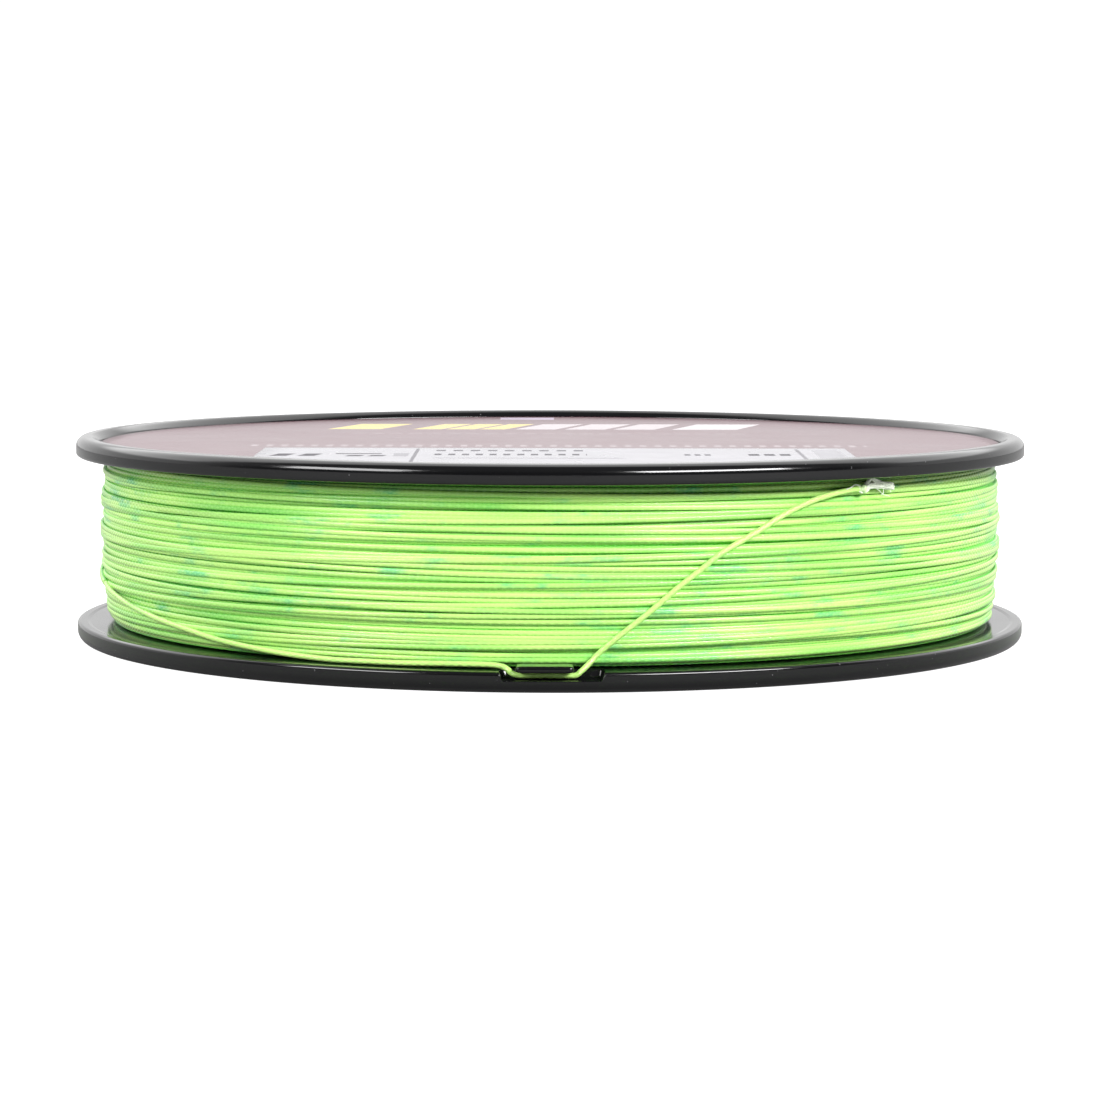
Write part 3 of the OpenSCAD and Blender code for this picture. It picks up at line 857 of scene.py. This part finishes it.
for number, part in enumerate(("inner", "middle", "outer")):
    piece_rows = slice(max(cuts[number] - 1, 0), cuts[number + 1])
    strand = tube_mesh(f"wound_line_{part}", strand_rings[piece_rows],
                       strand_uv(line_along[piece_rows], STRAND_SIDES))
    finish_piece(strand, "spool", wound_braid)


def turned(profile, angles):
    """A closed section (r, z) turned round the Z axis: (r cos a, r sin a, z) for every angle a."""
    r, z = profile[None, :, 0], profile[None, :, 1]
    a = angles[:, None]
    return np.stack(np.broadcast_arrays(r * np.cos(a), r * np.sin(a), z), axis=-1)


full_turn = 2 * np.pi * np.arange(360) / 360
core_z = np.linspace(PACK_LOW / MM + 0.02, PACK_HIGH / MM - 0.02, 130)
core_r = crown(core_z) - full_lift - 0.12
core_r = core_r + 0.05 * np.cos(2 * np.pi * core_z / STRAND_W)
core_profile = np.concatenate([[[CORE_R, core_z[-1]], [CORE_R, core_z[0]]],
                               np.stack([core_r, core_z], axis=1)]) * MM
core_grid = turned(core_profile, full_turn)
core_v = core_profile[None, :, 1] / (STRAND_W * MM)
core_uv = np.stack(np.broadcast_arrays(full_turn[:, None] * PACK_R, core_v), axis=-1)
core = build_mesh("wound_line_core", core_grid.reshape(-1, 3),
                  grid_quads(*core_grid.shape[:2], True, True), uv=core_uv.reshape(-1, 2))
finish_piece(core, "spool", shaded_core_braid)
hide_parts("wound_line")

# %% [markdown]
# ## The spool's two halves
# Each half is one moulding: a hub tube, a web, a drum wall and a rim bead round the outside. The
# bead is round towards its resting face, has a small edge towards the line, and slopes down gently
# to the label. All of it is a section turned about the axis, so one profile is enough. Its corners
# get small arcs, with a support point close to each on the flats, so smooth shading keeps the flats
# flat. The ribs and snap hooks are sealed inside the drum and stay in the CAD only.

# %% The section of a half


def rounded(corners, radii, steps=5):
    """A closed section with each corner replaced by an arc that touches both sides.

    The arc is the rational curve ((1 - t)^2 a + 2 w t (1 - t) corner + t^2 b) / the sum of the same
    three weights, from a to b on the two sides, where w is the sine of half the corner's angle.
    """
    corners = np.array(corners, float)
    before = np.roll(corners, 1, axis=0) - corners
    after = np.roll(corners, -1, axis=0) - corners
    before /= np.linalg.norm(before, axis=1, keepdims=True)
    after /= np.linalg.norm(after, axis=1, keepdims=True)
    half = np.arccos(np.clip((before * after).sum(1), -1, 1)) / 2
    reach = np.array(radii) / np.tan(half)
    t = np.linspace(0, 1, steps)[None, :, None]
    a = corners[:, None] + before[:, None] * reach[:, None, None]
    b = corners[:, None] + after[:, None] * reach[:, None, None]
    middle = 2 * np.sin(half)[:, None, None] * t * (1 - t)
    total = (1 - t) ** 2 + middle + t**2
    return ((1 - t) ** 2 * a + middle * corners[:, None] + t**2 * b) / total


def with_supports(arcs, near=0.12):
    """Joins the arcs and adds a point a little way along each straight side, at both of its ends."""
    out = []
    for here, there in zip(arcs, np.roll(arcs, -1, axis=0)):
        side = there[0] - here[-1]
        length = np.linalg.norm(side)
        out.append(here)
        if length > 4 * near:
            out.append(np.array([here[-1] + side * near / length, there[0] - side * near / length]))
    return np.concatenate(out)


BEAD_R, EDGE_R, SPLIT = RIM_T / MM / 2, 0.37, SPOOL_H / MM / 2
HUB_WALL, DRUM_WALL = 2.6, 1.5
SLOPE_END, SLOPE_DROP, SHOULDER = 1.7, 0.8, 0.4
outer_r, rim_centre = SPOOL_R / MM, SPOOL_R / MM - BEAD_R
inner_r, web, floor_z = RECESS_R / MM, WEB_IN / MM, RECESS / MM
bore, drum, hub = BORE_R / MM, DRUM_R / MM, BORE_R / MM + HUB_WALL


def arc(centre_r, centre_z, radius, start, stop, count):
    """Points centre + radius (cos a, sin a) from angle start to stop, in degrees."""
    a = np.radians(np.linspace(start, stop, count))
    return np.stack([centre_r + radius * np.cos(a), centre_z + radius * np.sin(a)], axis=1)


part = np.linspace(0, 1, 9)
slope_r = inner_r + (outer_r - SLOPE_END - inner_r) * part
mouth = np.stack([slope_r, SLOPE_DROP * (1 - part) ** 1.6], axis=1)
bead = np.concatenate([arc(rim_centre, BEAD_R, BEAD_R, -90, 0, 10),
                       arc(outer_r - EDGE_R, RIM_T / MM - EDGE_R, EDGE_R, 0, 90, 6)])
corner_list = np.concatenate([
    [[bore, floor_z], [inner_r, floor_z]], mouth, bead,
    [[rim_centre, RIM_T / MM], [rim_centre - SHOULDER, web], [drum, web], [drum, SPLIT],
     [drum - DRUM_WALL, SPLIT], [drum - DRUM_WALL, web], [hub, web], [hub, SPLIT], [bore, SPLIT]]])
inside_radii = [0.1, 0.1, 0.25, 0.03, 0.03, 0.25, 0.25, 0.03, 0.03]
corner_radii = [0.3, 0.06] + [0.01] * len(mouth) + [0.015] * len(bead) + inside_radii
half_profile = with_supports(rounded(corner_list, corner_radii))
steps = np.linalg.norm(np.diff(half_profile, axis=0, append=half_profile[:1]), axis=1)
half_profile = half_profile[steps > 0.004]
print("section points", len(half_profile))

# %% [markdown]
# ### The pocket under the clip
# The lower rim has a pocket 10.5 mm wide for the line clip. Instead of a boolean cut, the same
# turned grid is pressed down where the pocket is: with d the signed distance to a rounded
# rectangle in plan, every point above the pocket's floor sinks to it as d goes from +0.22 to -0.22.
# The tongue's root gets a narrow seat in the same way. Near the clip the grid has a column every
# quarter of a millimetre, and every 0.05 mm or less at the sides; elsewhere one every degree or so.

# %% Turn the two halves
POCKET = (-5.0, 5.5, -60.0, -51.2)
POCKET_FLOOR, POCKET_CORNER, POCKET_SOFT = 1.3, 0.6, 0.44
HINGE = (-0.5, -51.2, 1.75)
TONGUE_W, TONGUE_T = 5.9, 0.7
SEAT_CORNER, SEAT_SOFT = 0.05, 0.10


def rounded_box_distance(x, y, box, corner):
    """Distance to a rounded rectangle, negative inside: |p - centre| less the half size, as a circle."""
    x0, x1, y0, y1 = box
    qx = np.abs(x - (x0 + x1) / 2) - (x1 - x0) / 2 + corner
    qy = np.abs(y - (y0 + y1) / 2) - (y1 - y0) / 2 + corner
    outside = np.hypot(np.maximum(qx, 0), np.maximum(qy, 0))
    return outside + np.minimum(np.maximum(qx, qy), 0) - corner


def smooth_step(x):
    """0 below 0, 1 above 1, and 3 x^2 - 2 x^3 between."""
    x = np.clip(x, 0, 1)
    return x * x * (3 - 2 * x)


front_x = np.unique(np.round(np.concatenate([
    np.arange(-8, 8.01, 0.25), np.arange(-5.5, -4.5, 0.04), np.arange(5.0, 6.0, 0.04),
    np.arange(-3.75, -3.2, 0.05), np.arange(2.2, 2.75, 0.05)]), 3))
CLIP_R = SPOOL_R / MM - 1.5
front_angles = -np.pi / 2 + np.arcsin(front_x / CLIP_R)
rest_angles = np.linspace(front_angles[-1], front_angles[0] + 2 * np.pi, 340)[1:-1]
lower_angles = np.concatenate([front_angles, rest_angles])
extra_r = np.concatenate([np.arange(50.4, 51.8, 0.06), np.arange(51.9, 52.9, 0.12)])
on_web = np.abs(half_profile[:-1, 1] - web) < 0.01
flat_side = np.flatnonzero(on_web & (half_profile[:-1, 0] > 50) & (half_profile[1:, 0] < 50))[0]
dense = np.stack([extra_r[::-1], np.full(len(extra_r), web)], axis=1)
dense = dense[dense[:, 0] < half_profile[flat_side, 0] - 0.02]
lower_profile = np.insert(half_profile, flat_side + 1, dense, axis=0)
lower_grid = turned(lower_profile, lower_angles)
px, py, pz = lower_grid[..., 0], lower_grid[..., 1], lower_grid[..., 2]
sink = smooth_step(0.5 - rounded_box_distance(px, py, POCKET, POCKET_CORNER) / POCKET_SOFT)
seat_half = TONGUE_W / 2 + 0.06
seat = (HINGE[0] - seat_half, HINGE[0] + seat_half, -52.0, HINGE[1] + TONGUE_T / 2 + 0.05)
seat_sink = smooth_step(0.5 - rounded_box_distance(px, py, seat, SEAT_CORNER) / SEAT_SOFT)
sink = np.maximum(sink, seat_sink)
above = pz > POCKET_FLOOR
lower_grid[..., 2] = np.where(above & (pz < 3), pz - (pz - POCKET_FLOOR) * sink, pz)
lower_shell = build_mesh("lower_half_moulding", lower_grid.reshape(-1, 3) * MM,
                         grid_quads(*lower_grid.shape[:2], True, True))
finish_piece(lower_shell, "spool", plastic)
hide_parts("lower_spool_half")

upper_profile = half_profile * [1, -1] + [0, SPOOL_H / MM]
upper_grid = turned(upper_profile, 2 * np.pi * np.arange(380) / 380)
upper_shell = build_mesh("upper_half_moulding", upper_grid.reshape(-1, 3) * MM,
                         grid_quads(*upper_grid.shape[:2], True, True))
finish_piece(upper_shell, "spool", plastic)
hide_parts("upper_spool_half")

# %% [markdown]
# ### The line clip's tongue
# A springy bar that grows out of the web behind the pocket, steps up and reaches over it to the
# rim. It is a rounded rectangle carried along that bent path; towards its tip the rectangle gets
# lower and narrower, as a quarter circle falls off, so the tip is rounded in both views.

# %% Make the tongue
bend = catmull_rom(np.array([[0, -0.35, 0], [0, 0, 0], [0, 0.22, 0.02], [0, 0.7, 0.34], [0, 1.2, 0.68],
                             [0, 1.7, 0.7], [0, 2.7, 0.7], [0, 3.7, 0.7]]), 8)
spine, spine_at = evenly(bend, 0.06)
to_tip, from_root = spine_at[-1] - spine_at, spine_at


def fall_off(distance, reach):
    """sqrt(1 - (1 - distance / reach)^2) close to an end, 1 further in."""
    return np.sqrt(np.clip(1 - (1 - np.clip(distance / reach, 0.02, 1)) ** 2, 0.01, 1))


half_t = TONGUE_T / 2 * fall_off(to_tip, 0.22) * fall_off(from_root, 0.35)
half_w = TONGUE_W / 2 - 0.45 * (1 - fall_off(to_tip, 0.45))
way = np.gradient(spine, axis=0)
way /= np.linalg.norm(way, axis=1, keepdims=True)
normal = np.stack([np.zeros(len(way)), -way[:, 2], way[:, 1]], axis=1)
SECTION, SQUARE_X, SQUARE_Z = 48, 0.16, 0.42
turn = 2 * np.pi * (np.arange(SECTION) + 0.5) / SECTION
box_x = np.sign(np.cos(turn)) * np.abs(np.cos(turn)) ** SQUARE_X
box_y = np.sign(np.sin(turn)) * np.abs(np.sin(turn)) ** SQUARE_Z
tongue_rings = (spine[:, None] + half_w[:, None, None] * box_x[None, :, None] * np.array([1.0, 0, 0])
                + (half_t[:, None] * box_y)[..., None] * normal[:, None])
tongue_rings = tongue_rings * [1, -1, 1] + HINGE
tongue = tube_mesh("clip_tongue_bar", tongue_rings * MM)
finish_piece(tongue, "clip_tongue", tongue_plastic)
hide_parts("line_clip_tongue")

# %% [markdown]
# ## Labels
# The top label is a paper disc in the recess, and the size sticker lies on it with its curved side
# along the label's edge. Both are thin closed slabs: rings that grow from the middle to the outline
# on top, go over a tiny bevel, and shrink to the middle again underneath. The lower label is a ring
# round the hub, so it is a section turned about the axis.

# %% Make the labels


def slab(outline, low, high, steps=24, edge=0.03):
    """Rings centre + share (outline - centre), on top and underneath, joined round the edge."""
    centre = outline.mean(0)
    share = np.concatenate([np.linspace(0.02, 1, steps), np.linspace(1, 0.02, steps)])
    flat = centre + share[:, None, None] * (outline - centre)
    outward = (outline - centre) / np.linalg.norm(outline - centre, axis=1, keepdims=True)
    flat[steps - 1] -= outward * edge * 0.4
    top, bottom = np.full(steps - 1, high), np.full(steps - 1, low)
    z = np.concatenate([top, [high - edge * 0.3], [low + edge * 0.3], bottom])
    z = np.broadcast_to(z[:, None], flat.shape[:2])
    return np.concatenate([flat, z[..., None]], axis=-1)


circle = np.stack([np.cos(full_turn), np.sin(full_turn)], axis=1)
top_rings = slab(circle * LABEL_R / MM, LABEL_LOW / MM, LABEL_TOP / MM, 30) * MM
top_label = tube_mesh("top_label_disc", top_rings)
finish_piece(top_label, "spool", top_print)
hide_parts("top_label")

sticker_low, sticker_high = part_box("size_sticker")
STICKER_GAP = 0.5
arc_r = LABEL_R / MM - STICKER_GAP
x0, x1, y1 = sticker_low.x / MM, sticker_high.x / MM, sticker_high.y / MM
arc_x = np.linspace(x0, x1, 120)
side_a = np.linspace(-math.sqrt(arc_r**2 - x1**2), y1, 24)[1:]
side_b = np.linspace(y1, -math.sqrt(arc_r**2 - x0**2), 24)[1:-1]
outline = np.concatenate([
    np.stack([arc_x, -np.sqrt(arc_r**2 - arc_x**2)], axis=1),
    np.stack([np.full(len(side_a), x1), side_a], axis=1),
    np.stack([np.linspace(x1, x0, 90)[1:], np.full(89, y1)], axis=1),
    np.stack([np.full(len(side_b), x0), side_b], axis=1)])
sticker_rings = slab(outline, sticker_low.z / MM, sticker_high.z / MM, 12) * MM
sticker = tube_mesh("size_sticker_sheet", sticker_rings)
finish_piece(sticker, "spool", sticker_print)
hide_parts("size_sticker")

LABEL_HOLE = 11.0
ring_low, ring_high = (corner.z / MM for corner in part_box("lower_label"))
ring_section = rounded([[LABEL_HOLE, ring_low], [LABEL_R / MM, ring_low],
                        [LABEL_R / MM, ring_high], [LABEL_HOLE, ring_high]], [0.04] * 4, 4)
ring_grid = turned(with_supports(ring_section, 0.04), full_turn)
lower_label = build_mesh("lower_label_ring", ring_grid.reshape(-1, 3) * MM,
                         grid_quads(*ring_grid.shape[:2], True, True))
finish_piece(lower_label, "spool", lower_print)
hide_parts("lower_label")

# %% [markdown]
# ## Floor and light
# The floor and the room are white where the camera looks straight at them, so there is no shadow.
# To the object the floor is a dull grey that doesn't light the rim from below, and the room is
# white at the back, brighter high up there, and dark where the camera stands, because the black rim
# shows what it reflects: dark, with one soft streak from a large lamp at the right. The room's
# brightness depends only on direction in the world, so it stays put when the object is looked at
# from elsewhere.

# %% The floor
FLOOR_HALF, FLOOR_BELOW = 3.0, 0.02 * MM
floor_points = np.array([[-1, -1, 0], [1, -1, 0], [1, 1, 0], [-1, 1, 0]]) * FLOOR_HALF
floor_mesh = bpy.data.meshes.new("floor")
floor_mesh.from_pydata((floor_points - [0, 0, FLOOR_BELOW]).tolist(), [], [(0, 1, 2, 3)])
floor = bpy.data.objects.new("floor", floor_mesh)
bpy.context.scene.collection.objects.link(floor)
floor_white, n, shader = new_material("pale_floor", (0.28, 0.28, 0.28), 0.9)
shader.inputs["Emission Color"].default_value = (1, 1, 1, 1)
n.feed(shader.inputs["Emission Strength"], n.add("LightPath").outputs["Is Camera Ray"])
floor_mesh.materials.append(floor_white)
floor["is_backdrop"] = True
print("floor", 2 * FLOOR_HALF, "m wide")

# %% The room and the lamps
world = bpy.data.worlds.new("studio")
bpy.context.scene.world = world
world.use_nodes = True
w = Nodes(world.node_tree)
world.node_tree.nodes.clear()
way = w.add("SeparateXYZ", {0: w.add("TexCoord").outputs["Generated"]})
behind = w.ramp(way.outputs["Y"], -0.35, 0.25, 0.0, 1.0)
ceiling = w.ramp(way.outputs["Z"], 0.25, 0.75, 0.0, 1.0)
glow = w.math("MULTIPLY_ADD", behind, 1.04, 0.02)
glow = w.math("ADD", glow, w.math("MULTIPLY", w.math("SUBTRACT", 0.14, glow), ceiling))
bank = w.math("MULTIPLY", w.ramp(way.outputs["Z"], 0.28, 0.42), w.ramp(way.outputs["Y"], 0.0, 0.2))
glow = w.math("ADD", glow, w.math("MULTIPLY", bank, 2.4))
seen = w.add("LightPath").outputs["Is Camera Ray"]
light = w.math("MAXIMUM", glow, seen)
back = w.add("Background", {"Strength": light})
back.inputs["Color"].default_value = (1.0, 1.0, 1.0, 1)
w.tree.links.new(back.outputs[0], w.tree.nodes.new("ShaderNodeOutputWorld").inputs["Surface"])


def softbox(name, azimuth, elevation, distance, size, power):
    """A rectangular lamp that faces the spool, from an azimuth right of the camera and an elevation."""
    a, e = math.radians(azimuth), math.radians(elevation)
    to_lamp = np.array([math.sin(a) * math.cos(e), -math.cos(a) * math.cos(e), math.sin(e)])
    right = np.array([math.cos(a), math.sin(a), 0])
    lamp = bpy.data.lights.new(name, "AREA")
    lamp.shape, lamp.size, lamp.size_y = "RECTANGLE", size[0], size[1]
    lamp.energy = power
    made = bpy.data.objects.new(name, lamp)
    axes = np.stack([right, np.cross(to_lamp, right), to_lamp], axis=1)
    place = np.array([0, 0, SPOOL_H / 2]) + to_lamp * distance
    made.matrix_world = Matrix.Translation(place.tolist()) @ Matrix(axes.tolist()).to_4x4()
    bpy.context.scene.collection.objects.link(made)
    return made


softbox("key_lamp", 40, 28, 1.1, (0.66, 0.24), 17.0)
softbox("fill_lamp", -50, 26, 1.2, (0.60, 0.40), 10.5)
bpy.context.scene.view_settings.view_transform = "Standard"

# %% [markdown]
# ## Sizes at the end
# The finishes and the fine meshes must not make the spool bigger than the CAD model, so both boxes
# are written down side by side.

# %% Compare the boxes and finish
NEW_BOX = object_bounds()
for label, box in (("cad", CAD_BOX), ("visual", NEW_BOX)):
    print(label, [tuple(round(c, 5) for c in v) for v in box])
